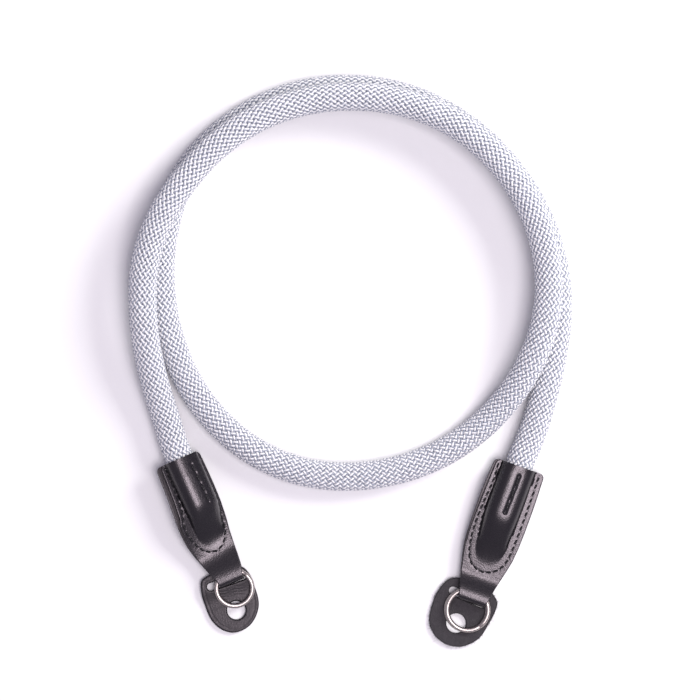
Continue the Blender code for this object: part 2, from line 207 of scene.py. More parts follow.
# The pads' faces: the pressed line inside the border and the wrinkles of the smooth one, and the swells
# and the border's fall of the napped one.
CREASE_DEPTH = 0.00010
CREASE_INSIDE = 0.0016
CREASE_WIDTH = 0.00022
WRINKLE_DEPTH = 0.00005
WRINKLE_PITCH = 0.0012
WRINKLE_SWAY = 0.0004
WRINKLE_START = 0.0042
WRINKLE_FADE = 0.0015
WRINKLE_HALF_WIDTH = 0.008
SWELL_DEPTH = 0.00004
BORDER_FALL = 0.0002
BORDER_RUN = 0.0012

# The two leather ends. A place on an end is given by along, from the mouth to the fold, and across,
# towards the end's left as the photograph shows it. Lean, roll and turn are in degrees. The runs over
# which the roll fades and the dome falls, the pull and groove of the middle row, and all tables are in
# millimetres. The edges' columns are along, the left edge of the upper layer, that of the lower layer
# and the right edge of both.
ENDS = {
    "left": {
        "mouth": (-0.0709, 0.0367), "lean": 23.8, "roll": 21.0, "roll_fades": (22.0, 46.5),
        "length": 0.0558, "fold_width": 0.0105, "seam_end": 0.0152,
        "dome_offset": -0.0009, "dome_falls": (19.7, 38.5),
        "ring_diameter": 0.0166, "ring_offset": 0.0,
        "pad_turn": -5.0, "pad_offset": 0.0031,
        "hole_diameter": 0.0076, "hole_to_fold": 0.0109,
        "slot_length": 0.0168, "slot_width": 0.0041, "slot_before_fold": 0.0009,
        "edges": [
            (0.0, 8.3, 9.9, -9.6), (5.0, 8.5, 10.2, -9.8), (10.0, 8.7, 10.4, -9.9),
            (15.0, 9.0, 10.7, -9.9), (20.0, 9.5, 11.1, -9.8), (23.5, 9.9, 11.4, -9.6),
            (26.0, 10.7, 11.5, -9.3), (30.0, 10.6, 11.4, -8.8), (35.0, 10.2, 10.9, -7.9),
            (40.0, 9.5, 9.8, -7.4), (45.0, 8.2, 8.3, -7.0), (50.0, 6.4, 6.4, -6.4),
            (53.0, 5.3, 5.3, -5.7), (55.8, 5.2, 5.2, -5.3),
        ],
        "seam": [
            (1.0, 6.4), (6.0, 6.5), (12.0, 6.8), (17.0, 7.3), (22.0, 8.1), (25.5, 9.3), (29.0, 9.3),
            (32.5, 8.5), (35.0, 7.5), (37.4, 6.5), (39.4, 4.8), (40.6, 2.6), (41.0, 0.4),
            (40.2, -1.9), (38.7, -3.8), (36.6, -5.2), (33.6, -6.5), (29.0, -7.0), (24.0, -7.5),
            (18.0, -8.0), (12.0, -8.2), (6.0, -8.3), (1.0, -8.3),
        ],
        "row_pull": 0.0, "row_groove": 0.20,
        "centre_row": [(3.9, -2.4), (8.0, -2.6), (12.5, -2.8), (17.0, -2.8), (21.0, -2.8)],
    },
    "right": {
        "mouth": (0.0700, 0.0338), "lean": -19.8, "roll": 4.0, "roll_fades": (0.0, 47.3),
        "length": 0.0598, "fold_width": 0.0113, "seam_end": 0.0125,
        "dome_offset": 0.0007, "dome_falls": (19.7, 43.5),
        "ring_diameter": 0.0188, "ring_offset": 0.0003,
        "pad_turn": -4.2, "pad_offset": 0.0028,
        "hole_diameter": 0.0081, "hole_to_fold": 0.0100,
        "slot_length": 0.0168, "slot_width": 0.0044, "slot_before_fold": 0.0009,
        "edges": [
            (0.0, 10.2, 10.9, -10.5), (5.0, 10.5, 11.3, -10.6), (10.0, 10.7, 11.6, -10.8),
            (15.0, 10.9, 11.8, -10.9), (25.0, 11.1, 11.8, -10.9), (32.0, 11.1, 11.6, -10.7),
            (38.0, 10.8, 11.1, -10.2), (43.0, 9.8, 10.0, -9.2), (48.0, 8.7, 8.8, -8.0),
            (52.0, 7.6, 7.6, -7.1), (56.0, 6.6, 6.6, -6.4), (59.8, 5.7, 5.7, -5.65),
        ],
        "seam": [
            (1.2, 9.3), (5.0, 8.9), (10.0, 8.8), (15.0, 9.2), (20.0, 9.5), (25.0, 9.7), (30.0, 9.6),
            (35.0, 9.1), (38.0, 8.5), (40.5, 7.8), (42.7, 6.9), (44.4, 5.4), (45.6, 3.2), (46.2, 0.6),
            (45.8, -1.9), (44.8, -4.1), (43.3, -5.8), (41.3, -7.1), (38.5, -8.0), (35.0, -8.4),
            (30.0, -8.6), (25.0, -8.7), (18.0, -8.7), (10.0, -8.6), (5.0, -8.5), (1.2, -8.4),
        ],
        "row_pull": 0.3, "row_groove": 0.45,
        "centre_row": [(3.9, 0.0), (9.0, 0.0), (14.5, 0.1), (19.8, 0.2)],
    },
}

# Outlines of the two bumper pads in millimetres from the lug hole's centre: towards the strap, and
# towards the pad's right as the photograph shows it.
PAD_OUTLINES = {
    "left": [
        (17.5, 0.0), (17.4, -6.0), (16.2, -9.6), (12.4, -11.1), (5.6, -11.6), (-1.0, -10.9),
        (-5.6, -8.3), (-8.2, -4.7), (-8.7, -0.4), (-7.4, 3.9), (-4.6, 7.2), (-0.9, 9.5),
        (2.3, 10.2), (5.5, 10.3), (13.2, 9.8), (15.9, 8.4), (17.2, 5.0),
    ],
    "right": [
        (17.8, 0.5), (17.6, -6.5), (15.6, -10.0), (11.3, -11.8), (2.5, -12.1), (-4.6, -9.9),
        (-8.6, -5.0), (-9.6, 0.2), (-8.3, 5.2), (-2.4, 10.9), (5.0, 12.4), (10.2, 12.7),
        (14.7, 12.0), (17.3, 8.6),
    ],
}


def smoothstep(value):
    """Three times the square less twice the cube, of a value held between 0 and 1."""
    value = np.clip(value, 0.0, 1.0)
    return value * value * (3 - 2 * value)


def curve_through(knots, fine, closed=False):
    """A curve through knots: between two, the cubic whose end slopes are the knots' central differences."""
    knots = np.asarray(knots, float)
    if closed:
        knots = np.concatenate([knots[-2:], knots, knots[:3]])
    chord = np.linalg.norm(np.diff(knots, axis=0), axis=1)
    slopes = np.gradient(knots, np.concatenate([[0.0], np.cumsum(chord)]), axis=0)
    t = (np.arange(fine) / fine)[None, :, None]
    reach = chord[:, None, None]
    drawn = (
        (2 * t ** 3 - 3 * t ** 2 + 1) * knots[:-1, None]
        + (t ** 3 - 2 * t ** 2 + t) * reach * slopes[:-1, None]
        + (3 * t ** 2 - 2 * t ** 3) * knots[1:, None]
        + (t ** 3 - t ** 2) * reach * slopes[1:, None]
    )
    if closed:
        return drawn[2:-2].reshape(-1, knots.shape[1])
    return np.concatenate([drawn.reshape(-1, knots.shape[1]), knots[-1:]])


def lengths_along(curve):
    """Distance from the curve's start to each of its points, along its chords."""
    return np.concatenate([[0.0], np.cumsum(np.linalg.norm(np.diff(curve, axis=0), axis=1))])


def read_curve(curve, places):
    """Points of a curve at given distances from its start, by straight lines between its points."""
    along = lengths_along(curve)
    return np.stack([np.interp(places, along, axis) for axis in curve.T], axis=-1)


def grid_quads(rows, columns, close_columns=False):
    """Quads between neighbouring rows and columns of points that are numbered row by row."""
    row, column = np.meshgrid(
        np.arange(rows - 1), np.arange(columns if close_columns else columns - 1), indexing="ij"
    )
    beside = (column + 1) % columns
    corners = [row * columns + column, row * columns + beside]
    corners += [(row + 1) * columns + beside, (row + 1) * columns + column]
    return np.stack(corners, axis=-1).reshape(-1, 4)


def many_grids(count, rows, columns, close_columns=False):
    """Quads of many equal grids, numbered one after another, and the number of each grid's first point."""
    first = (np.arange(count) * rows * columns)[:, None]
    quads = grid_quads(rows, columns, close_columns)[None] + first[..., None]
    return quads.reshape(-1, 4), first


def turned_area(loop):
    """Twice a closed loop's area: more than zero if it turns left."""
    return np.sum(loop[:, 0] * np.roll(loop[:, 1], -1) - np.roll(loop[:, 0], -1) * loop[:, 1])


def make_piece(name, points, polygons, finish, uv=None, marks=None, sharp=None):
    """A mesh from points and groups of polygons, each group an array of equal-sided ones."""
    points = np.asarray(points, float).reshape(-1, 3)
    corners = np.concatenate([group.reshape(-1) for group in polygons])
    sides = np.concatenate([np.full(len(group), group.shape[1]) for group in polygons])
    mesh = bpy.data.meshes.new(name)
    mesh.vertices.add(len(points))
    mesh.vertices.foreach_set("co", points.reshape(-1))
    mesh.loops.add(len(corners))
    mesh.loops.foreach_set("vertex_index", corners)
    mesh.polygons.add(len(sides))
    mesh.polygons.foreach_set("loop_start", np.concatenate([[0], np.cumsum(sides)[:-1]]))
    mesh.update(calc_edges=True)
    if uv is not None:
        layer = mesh.uv_layers.new(name="UVMap")
        layer.data.foreach_set("uv", np.asarray(uv, float).reshape(-1, 2)[corners].reshape(-1))
    for mark, values in (marks or {}).items():
        attribute = mesh.attributes.new(mark, "FLOAT", "POINT")
        attribute.data.foreach_set("value", np.asarray(values, np.float32).reshape(-1))
    mesh.shade_smooth()
    if sharp is not None:
        mesh.set_sharp_from_angle(angle=math.radians(sharp))
    mesh.materials.append(finish)
    piece = bpy.data.objects.new(name, mesh)
    bpy.context.scene.collection.objects.link(piece)
    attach(piece, "root")
    return piece


def feed(tree, node, inputs):
    """Give each named or numbered input of a node its value, or the socket that feeds it."""
    for socket, value in inputs.items():
        if isinstance(value, bpy.types.NodeSocket):
            tree.links.new(value, node.inputs[socket])
        else:
            node.inputs[socket].default_value = value


def place_node(tree, kind, inputs=None, **settings):
    """A shader node with its settings and inputs."""
    node = tree.nodes.new(kind)
    for setting, value in settings.items():
        setattr(node, setting, value)
    feed(tree, node, inputs or {})
    return node


def calculate(tree, operation, *values):
    """The result of a Math node on sockets and numbers."""
    inputs = dict(enumerate(values))
    return place_node(tree, "ShaderNodeMath", inputs, operation=operation).outputs[0]


def bump_normal(tree, height, relief):
    """The normal of a surface raised by a height times the relief in metres."""
    return place_node(tree, "ShaderNodeBump", {
        "Height": height, "Distance": relief, "Strength": 1.0,
    }).outputs["Normal"]


def new_group(name, inputs, outputs):
    """An empty shader node group with named sockets; gives the group, its input and its output."""
    group = bpy.data.node_groups.new(name, "ShaderNodeTree")
    for socket, (kind, value) in inputs.items():
        made = group.interface.new_socket(socket, in_out="INPUT", socket_type=kind)
        if value is not None:
            made.default_value = value
    for socket, kind in outputs.items():
        group.interface.new_socket(socket, in_out="OUTPUT", socket_type=kind)
    return group, group.nodes.new("NodeGroupInput").outputs, group.nodes.new("NodeGroupOutput")


def hide_grain_group():
    """Leather grain: pebbles from a Voronoi field that a soft noise bends, over slow hills of the hide."""
    group, given, result = new_group(
        "Hide grain",
        {
            "Vector": ("NodeSocketVector", None),
            "Pebbles per metre": ("NodeSocketFloat", 1500.0),
            "Pebble depth": ("NodeSocketFloat", 0.5),
            "Hills per metre": ("NodeSocketFloat", 180.0),
            "Hill depth": ("NodeSocketFloat", 0.5),
            "Relief": ("NodeSocketFloat", 0.00012),
        },
        {"Normal": "NodeSocketVector", "Pores": "NodeSocketFloat", "Hills": "NodeSocketFloat"},
    )
    bend = place_node(group, "ShaderNodeTexNoise", {
        "Vector": given["Vector"], "Scale": 900.0, "Detail": 2.0,
    })
    shift = place_node(group, "ShaderNodeVectorMath", {
        0: bend.outputs["Color"], "Scale": 0.0006,
    }, operation="SCALE")
    bent = place_node(group, "ShaderNodeVectorMath", {
        0: given["Vector"], 1: shift.outputs["Vector"],
    }, operation="ADD")
    pebbles = place_node(group, "ShaderNodeTexVoronoi", {
        "Vector": bent.outputs["Vector"], "Scale": given["Pebbles per metre"], "Smoothness": 0.35,
    }, feature="SMOOTH_F1")
    pores = place_node(group, "ShaderNodeMapRange", {
        "Value": pebbles.outputs["Distance"], "From Min": 0.15, "From Max": 0.75,
    }).outputs["Result"]
    hills = place_node(group, "ShaderNodeTexNoise", {
        "Vector": given["Vector"], "Scale": given["Hills per metre"], "Detail": 5.0, "Roughness": 0.55,
    }).outputs["Fac"]
    dropped = calculate(group, "MULTIPLY", pores, given["Pebble depth"])
    raised = calculate(group, "MULTIPLY", hills, given["Hill depth"])
    height = calculate(group, "SUBTRACT", raised, dropped)
    normal = bump_normal(group, height, given["Relief"])
    feed(group, result, {"Normal": normal, "Pores": pores, "Hills": hills})
    return group


def twisted_fibre_group():
    """Fine filaments that run along a yarn with a slant: bands of v plus a share of u."""
    group, given, result = new_group(
        "Twisted fibres",
        {
            "UV": ("NodeSocketVector", None),
            "Filaments": ("NodeSocketFloat", 8.0),
            "Slant": ("NodeSocketFloat", 0.6),
            "Relief": ("NodeSocketFloat", 0.00005),
        },
        {"Normal": "NodeSocketVector", "Furrows": "NodeSocketFloat"},
    )
    parts = place_node(group, "ShaderNodeSeparateXYZ", {"Vector": given["UV"]}).outputs
    slanted = calculate(group, "MULTIPLY_ADD", parts["X"], given["Slant"], parts["Y"])
    turned = calculate(group, "MULTIPLY", slanted, given["Filaments"])
    wave = calculate(group, "PINGPONG", turned, 1.0)
    feed(group, result, {"Normal": bump_normal(group, wave, given["Relief"]), "Furrows": wave})
    return group


SHINE_TINT = (1.0, 0.92, 0.965, 1.0)
HIDE_GRAIN = hide_grain_group()
TWISTED_FIBRES = twisted_fibre_group()


def new_material(name):
    """A material with its Principled shader; gives the material, its node tree and the shader."""
    made = bpy.data.materials.new(name)
    made.use_nodes = True
    tree = made.node_tree
    return made, tree, tree.nodes["Principled BSDF"]


def colour_between(tree, factor, low, high):
    """Base colour that goes from low to high with a factor between 0 and 1."""
    return place_node(tree, "ShaderNodeMix", {
        "Factor": factor, "A": (*low, 1.0), "B": (*high, 1.0),
    }, data_type="RGBA").outputs["Result"]


def number_between(tree, factor, low, high):
    """A number that goes from low to high with a factor between 0 and 1."""
    return place_node(tree, "ShaderNodeMapRange", {
        "Value": factor, "To Min": low, "To Max": high,
    }).outputs["Result"]


def speckle(tree, scale):
    """A noise over the place on the object, between 0 and 1."""
    place = place_node(tree, "ShaderNodeTexCoord")
    return place_node(tree, "ShaderNodeTexNoise", {
        "Vector": place.outputs["Object"], "Scale": scale, "Detail": 3.0,
    }).outputs["Fac"]


def twisted_fibres(tree, filaments, slant, relief):
    """The outputs of the filaments over a piece's own UV."""
    place = place_node(tree, "ShaderNodeUVMap", uv_map="UVMap")
    return place_node(tree, "ShaderNodeGroup", {
        "UV": place.outputs["UV"], "Filaments": filaments, "Slant": slant, "Relief": relief,
    }, node_tree=TWISTED_FIBRES).outputs


def yarn_material(name, shaded, lit):
    """Braided yarn: filaments from the yarn's own UV, and a slow change of tone from yarn to yarn."""
    made, tree, shader = new_material(name)
    fibres = twisted_fibres(tree, filaments=6.0, slant=0.9, relief=0.00004)
    tone = place_node(tree, "ShaderNodeAttribute", attribute_name="tone")
    feed(tree, shader, {
        "Base Color": colour_between(tree, tone.outputs["Fac"], shaded, lit),
        "Normal": fibres["Normal"], "Roughness": 0.72, "Sheen Weight": 0.25, "Sheen Roughness": 0.5,
        "Specular IOR Level": 0.3,
    })
    return made


def core_material():
    """The shaded ground between the yarns."""
    made, tree, shader = new_material("rope core")
    colour = colour_between(tree, speckle(tree, 2500.0), (0.26, 0.28, 0.34), (0.38, 0.40, 0.46))
    feed(tree, shader, {"Base Color": colour, "Roughness": 0.9})
    return made


WHITE_YARN = yarn_material("white yarn", (0.86, 0.865, 0.88), (0.95, 0.95, 0.955))
GREY_YARN = yarn_material("blue-grey yarn", (0.26, 0.285, 0.35), (0.37, 0.40, 0.475))
ROPE_CORE = core_material()


class Rope:
    """The rope's centre line with its directions: along it, upwards and to the side."""

    def __init__(self, knots):
        drawn = curve_through(knots, 16)
        self.length = lengths_along(drawn)[-1]
        self.places = np.linspace(0.0, self.length, int(self.length / CORE_STEP) + 1)
        self.centre = read_curve(drawn, self.places)
        heading = np.gradient(self.centre, axis=0)
        heading /= np.linalg.norm(heading, axis=1)[:, None]
        up = np.array([0.0, 0.0, 1.0]) - heading * heading[:, 2:]
        self.up = up / np.linalg.norm(up, axis=1)[:, None]
        self.side = np.cross(heading, self.up)

    def read(self, values, along):
        """Values known at the centre line's places, read at other places along it."""
        return np.stack([np.interp(along, self.places, axis) for axis in values.T], axis=-1)

    def surface(self, along, around, radius):
        """Centre at along, plus radius times cosine of around upwards and its sine to the side.

        The radius goes down to the squeezed share by a smooth step over a short run inside the mouth.
        """
        upwards = np.cos(around)[..., None] * self.read(self.up, along)
        sideways = np.sin(around)[..., None] * self.read(self.side, along)
        from_tip = np.minimum(along, self.length - along)
        squeeze = 1 - (1 - SQUEEZED) * smoothstep((ROPE_IN_END - from_tip) / SQUEEZE_RUN)
        return self.read(self.centre, along) + (radius * squeeze)[..., None] * (upwards + sideways)


def make_core(rope):
    """The tube under the braid: rings of one radius round the centre line, closed at both ends."""
    turn = np.arange(CORE_SIDES) * 2 * math.pi / CORE_SIDES
    along, around = np.meshgrid(rope.places, turn, indexing="ij")
    points = rope.surface(along, around, np.full(along.shape, CORE_RADIUS))
    quads = grid_quads(len(rope.places), CORE_SIDES, close_columns=True)[:, ::-1]
    first = np.arange(CORE_SIDES)[None, :]
    last = first[:, ::-1] + (len(rope.places) - 1) * CORE_SIDES
    core = make_piece("rope_core", points, [quads, first, last], ROPE_CORE)
    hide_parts("rope")
    return core


def yarn_crossings(rope, right_handed):
    """Places along and angles around where the strands of one hand pass over.

    Row k lies k 32nds of a turn round the rope and turns right if k is even, left if it is odd. Its
    crossings are two steps apart along the rope, with a shift of one step from row to row.
    """
    crossings = int(rope.length / BRAID_STEP) - 1
    row, crossing = np.meshgrid(np.arange(BRAID_ROWS), np.arange(1, crossings), indexing="ij")
    parity = 0 if right_handed else 1
    chosen = (row % 2 == parity) & (crossing % 2 == parity)
    return crossing[chosen] * BRAID_STEP, row[chosen] * 2 * math.pi / BRAID_ROWS


def yarn_pillows(rope, rng, right_handed, white):
    """Points of one pillow at each crossing of one hand and colour.

    The white yarn of a strand lies a little ahead of its crossing and the grey one behind it. A
    pillow's height is the core's radius plus the rise times (1 - a^2) times (1 - |b|^2.6), with a
    along the yarn and b across it, from -1 to 1.
    """
    along, around = yarn_crossings(rope, right_handed)
    count = len(along)
    a = PILLOW_ALONG[None, :, None]
    b = PILLOW_ACROSS[None, None, :]
    stretch = rng.uniform(*YARN_STRETCH, count)[:, None, None]
    swell = rng.uniform(*YARN_SWELL, count)[:, None, None]
    angle = BRAID_ANGLE + rng.normal(0.0, YARN_TURN, count)[:, None, None]
    turn = 1.0 if right_handed else -1.0
    shift = WHITE_AHEAD if white else -GREY_BEHIND
    half_width = WHITE_HALF_WIDTH if white else GREY_HALF_WIDTH
    reach = YARN_HALF_LENGTH * stretch * a
    width = half_width * (1 - YARN_TAPER * np.abs(a) ** 3) * b
    ahead = shift + reach * np.cos(angle) - turn * width * np.sin(angle)
    sideways = turn * reach * np.sin(angle) + width * np.cos(angle)
    shape = (1 - a ** 2) * (1 - np.abs(b) ** PILLOW_POWER)
    radius = CORE_RADIUS - YARN_SUNK + YARN_RISE * swell * shape
    turned = around[:, None, None] + sideways / (ROPE_DIAMETER / 2)
    return rope.surface(along[:, None, None] + ahead, turned, radius)


def make_yarn_floats(rope, name, right_handed, white, finish):
    """All pillows of one hand and colour as one mesh: each is a grid on top and one face below."""
    rng = np.random.default_rng(11 + 2 * right_handed + white)
    points = yarn_pillows(rope, rng, right_handed, white)
    count, rows, columns = points.shape[:3]
    top, first = many_grids(count, rows, columns)
    number = np.arange(rows * columns).reshape(rows, columns)
    rim = np.concatenate([number[0], number[1:, -1], number[-1, -2::-1], number[-2:0:-1, 0]]) + first
    flip = slice(None, None, -1) if right_handed else slice(None)
    uv = np.stack(np.meshgrid(PILLOW_ASPECT * PILLOW_ALONG, PILLOW_ACROSS, indexing="ij"), axis=-1)
    tone = np.broadcast_to(rng.uniform(0.0, 1.0, count)[:, None], (count, rows * columns))
    return make_piece(
        name, points, [top[:, flip], rim[:, ::-1][:, flip]], finish,
        uv=np.broadcast_to(uv, (count, rows, columns, 2)), marks={"tone": tone},
    )


def make_rope():
    """The core, with the four sets of yarn pillows on it."""
    rope = Rope(ROPE_ROUTE)
    core = make_core(rope)
    for hand, right_handed in (("right", True), ("left", False)):
        for tone, white, finish in (("white", True, WHITE_YARN), ("grey", False, GREY_YARN)):
            name = f"braid_{tone}_{hand}_hand"
            make_yarn_floats(rope, name, right_handed, white, finish)


make_rope()


def leather_material(name, grain, roughness, edge_roughness, tint, shine, sheen=0.0):
    """Dyed leather: hide grain, a tone that follows the hills, and darker, duller cut edges."""
    made, tree, shader = new_material(name)
    place = place_node(tree, "ShaderNodeTexCoord")
    hide = place_node(tree, "ShaderNodeGroup", {
        "Vector": place.outputs["Object"], **grain,
    }, node_tree=HIDE_GRAIN).outputs
    cut = place_node(tree, "ShaderNodeAttribute", attribute_name="cut_edge").outputs["Fac"]
    low, high, edge = tint
    colour = place_node(tree, "ShaderNodeMix", {
        "Factor": cut, "A": colour_between(tree, hide["Hills"], low, high), "B": (*edge, 1.0),
    }, data_type="RGBA")
    gloss = place_node(tree, "ShaderNodeMix", {
        "Factor": cut, "A": number_between(tree, hide["Pores"], *roughness), "B": edge_roughness,
    }, data_type="FLOAT")
    feed(tree, shader, {
        "Base Color": colour.outputs["Result"], "Roughness": gloss.outputs["Result"],
        "Normal": hide["Normal"], "Specular IOR Level": shine, "Specular Tint": SHINE_TINT,
        "Sheen Weight": sheen,
    })
    return made


def thread_material():
    """Waxed black thread: two plies that show as slanted furrows."""
    made, tree, shader = new_material("waxed thread")
    fibres = twisted_fibres(tree, filaments=2.0, slant=1.6, relief=0.00012)
    # Painted shade: the colour follows the furrows' height, darker down in them and lighter on the plies'
    # crowns.
    colour = colour_between(tree, fibres["Furrows"], (0.003, 0.003, 0.004), (0.014, 0.013, 0.015))
    feed(tree, shader, {"Base Color": colour, "Normal": fibres["Normal"], "Roughness": 0.40})
    return made


def steel_material():
    """Steel, brushed along the wire: noise drawn out along the wire's UV, in roughness and bump."""
    made, tree, shader = new_material("split ring steel")
    place = place_node(tree, "ShaderNodeUVMap", uv_map="UVMap").outputs["UV"]
    along = place_node(tree, "ShaderNodeMapping", {"Vector": place, "Scale": (3.0, 90.0, 1.0)})
    brush = place_node(tree, "ShaderNodeTexNoise", {
        "Vector": along.outputs["Vector"], "Scale": 1.0, "Detail": 4.0, "Roughness": 0.6,
    }).outputs["Fac"]
    worn = place_node(tree, "ShaderNodeTexNoise", {"Vector": place, "Scale": 9.0, "Detail": 3.0})
    # Painted reflection: the warm tan of the base colour stands in for the brownish surroundings that the
    # ring reflects; the worn noise varies it at random.
    feed(tree, shader, {
        "Base Color": colour_between(
            tree, worn.outputs["Fac"], (0.46, 0.415, 0.38), (0.56, 0.52, 0.49)
        ),
        "Roughness": number_between(tree, brush, 0.30, 0.40),
        "Normal": bump_normal(tree, brush, 0.000004), "Metallic": 1.0,
    })
    return made


COVER_LEATHER = leather_material(
    "cover leather",
    {"Pebbles per metre": 1700.0, "Pebble depth": 0.55, "Hills per metre": 260.0, "Hill depth": 0.6,
     "Relief": 0.00004},
    roughness=(0.25, 0.34), edge_roughness=0.42, shine=0.80,
    tint=((0.0035, 0.0035, 0.0042), (0.0070, 0.0066, 0.0080), (0.004, 0.0035, 0.004)),
)
SMOOTH_PAD_LEATHER = leather_material(
    "smooth pad leather",
    {"Pebbles per metre": 1500.0, "Pebble depth": 0.45, "Hills per metre": 240.0, "Hill depth": 0.8,
     "Relief": 0.00005},
    roughness=(0.36, 0.46), edge_roughness=0.5, shine=0.50,
    tint=((0.0045, 0.0045, 0.0055), (0.0090, 0.0086, 0.0100), (0.004, 0.004, 0.0045)),
)
ROUGH_PAD_LEATHER = leather_material(
    "rough pad leather",
    {"Pebbles per metre": 2600.0, "Pebble depth": 0.8, "Hills per metre": 700.0, "Hill depth": 1.4,
     "Relief": 0.00022},
    roughness=(0.70, 0.90), edge_roughness=0.95, shine=0.4, sheen=0.15,
    tint=((0.030, 0.028, 0.031), (0.066, 0.061, 0.066), (0.009, 0.009, 0.010)),
)
WAXED_THREAD = thread_material()
RING_STEEL = steel_material()


def in_row_frame(end, points):
    """Points of an end's own frame (across, along, up) turned by its lean and moved to its mouth."""
    angle = math.radians(end["lean"] + 180)
    x, y, z = points[..., 0], points[..., 1], points[..., 2]
    return np.stack([
        end["mouth"][0] + x * math.cos(angle) - y * math.sin(angle),
        end["mouth"][1] + x * math.sin(angle) + y * math.cos(angle),
        z,
    ], axis=-1)


def middle_height(end, along):
    """Height of the end's middle plane: level at the mouth, then a nearly even slope to the fold."""
    share = np.clip((along - SLOPE_START) / (end["length"] - FOLD_REACH - SLOPE_START), 0.0, 1.0)
    eased = share + EASED * (smoothstep(share) - share)
    return DOME_RADIUS + (FOLD_HALF - DOME_RADIUS) * eased


def legs_apart(end, along):
    """0 to the seam's end, 1 where the tab's legs hold pad and ring, and smooth between."""
    seam = end["length"] - end["seam_end"]
    return smoothstep((along - seam) / (end["length"] - FOLD_REACH - seam))


def softer_of(one, other, softness):
    """The larger of two heights, raised by softness / 6 times the cube of how near they are."""
    near = np.clip(1 - np.abs(one - other) / softness, 0.0, 1.0)
    return np.maximum(one, other) + near ** 3 * softness / 6


def dome_share(end, along):
    """1 over the rope's end, then down to 0 at the dome's end by a smooth step."""
    held_to, gone_at = end["dome_falls"]
    return 1 - smoothstep((along / MM - held_to) / (gone_at - held_to))


def hole_places(end):
    """Stitch holes, evenly spaced along the seam line, and those of the middle row."""
    seam = curve_through(np.array(end["seam"]) * MM, 12)
    length = lengths_along(seam)[-1]
    seam_holes = read_curve(seam, np.linspace(0.0, length, int(round(length / STITCH_PITCH)) + 1))
    return seam, seam_holes, np.array(end["centre_row"]) * MM


def near_points(place, points, reach):
    """1 at the nearest of some points, and away from them exp(-(distance / reach) squared)."""
    gap = np.min(np.linalg.norm(place[..., None, :] - points, axis=-1), axis=-1)
    return np.exp(-(gap / reach) ** 2)


def outer_rise(end, along, across, dimples=True):
    """Height of the leather's outside over the middle plane.

    It is the dome's superellipse or the flange, whichever is higher, with a fillet. The middle row of
    stitches pulls the dome in over a wide band. Less a groove along each row and a round dimple at
    every stitch hole, each falling off as exp(-distance squared).
    """
    high = dome_share(end, along)
    half_width = DOME_RADIUS * (DOME_END_WIDTH + (1 - DOME_END_WIDTH) * high)
    level = (across - end["dome_offset"] * high) / half_width
    rise = LEATHER + (DOME_RADIUS - LEATHER) * high
    dome = rise * np.clip(1 - np.abs(level) ** DOME_POWER, 0.0, 1.0) ** (1 / DOME_POWER)
    seam, seam_holes, centre_holes = hole_places(end)
    middle_row = read_curve(centre_holes, np.linspace(0.0, lengths_along(centre_holes)[-1], 60))
    place = np.stack([along, across], axis=-1)
    dome = dome - end["row_pull"] * MM * near_points(place, middle_row, ROW_PULL_REACH)
    flange = LEATHER + (FOLD_HALF - LEATHER) * legs_apart(end, along)
    height = softer_of(dome, flange, LEAST_FILLET + FILLET * np.minimum(3 * high, 1.0))
    if not dimples:
        return height
    height = height - SEAM_GROOVE * near_points(place, seam, SEAM_REACH)
    height = height - SEAM_HOLE * near_points(place, seam_holes, SEAM_HOLE_REACH)
    height = height - end["row_groove"] * MM * near_points(place, middle_row, ROW_REACH)
    return height - ROW_HOLE * near_points(place, centre_holes, ROW_HOLE_REACH)


def rolled(end, along, across, height):
    """A place turned about the dome's axis by the end's roll, which fades out before the fold.

    The underside is pressed flat on the table: a height under a small one, h, becomes h times
    exp(height / h - 1), so it never quite reaches zero.
    """
    held_to, gone_at = end["roll_fades"]
    fade = 1 - smoothstep((along / MM - held_to) / (gone_at - held_to))
    roll = math.radians(end["roll"]) * fade
    pivot = end["dome_offset"] * dome_share(end, along)
    turned = pivot + (across - pivot) * np.cos(roll) - height * np.sin(roll)
    lifted = middle_height(end, along) + (across - pivot) * np.sin(roll) + height * np.cos(roll)
    pressed = PRESSED * np.exp(np.minimum(lifted / PRESSED - 1, 0.0))
    lifted = np.where(lifted < PRESSED, pressed, lifted)
    return np.stack([turned, along + 0 * turned, lifted], axis=-1)


def edge_places(end, along, layer):
    """Left and right edge of the upper or lower layer, drawn in by a quarter circle at the mouth."""
    table = np.array(end["edges"]) * MM
    left = np.interp(along, table[:, 0], table[:, 1 if layer == "upper" else 2])
    right = np.interp(along, table[:, 0], table[:, 3])
    inside = np.clip(MOUTH_CORNER - along, 0.0, MOUTH_CORNER)
    drawn_in = MOUTH_CORNER - np.sqrt(MOUTH_CORNER ** 2 - inside ** 2)
    return left - drawn_in, right + drawn_in


def across_places(left, right):
    """Places across the strip from left to right, close together at both edges, even between."""
    depth = EDGE_ROUND * EDGE_DEPTHS
    inner = np.linspace(0.0, 1.0, ACROSS_STEPS)[1:-1]
    start, stop = left - EDGE_ROUND, right + EDGE_ROUND
    even = start[:, None] + (stop - start)[:, None] * inner
    return np.concatenate([left[:, None] - depth, even, right[:, None] + depth[::-1]], axis=1)


def edge_drop(left, right, across):
    """How far a face falls at its rounded edges: a quarter circle over the last of its width."""
    depth = np.minimum(left[:, None] - across, across - right[:, None])
    short = np.clip(EDGE_ROUND - depth, 0.0, EDGE_ROUND)
    return EDGE_ROUND - np.sqrt(EDGE_ROUND ** 2 - short ** 2)


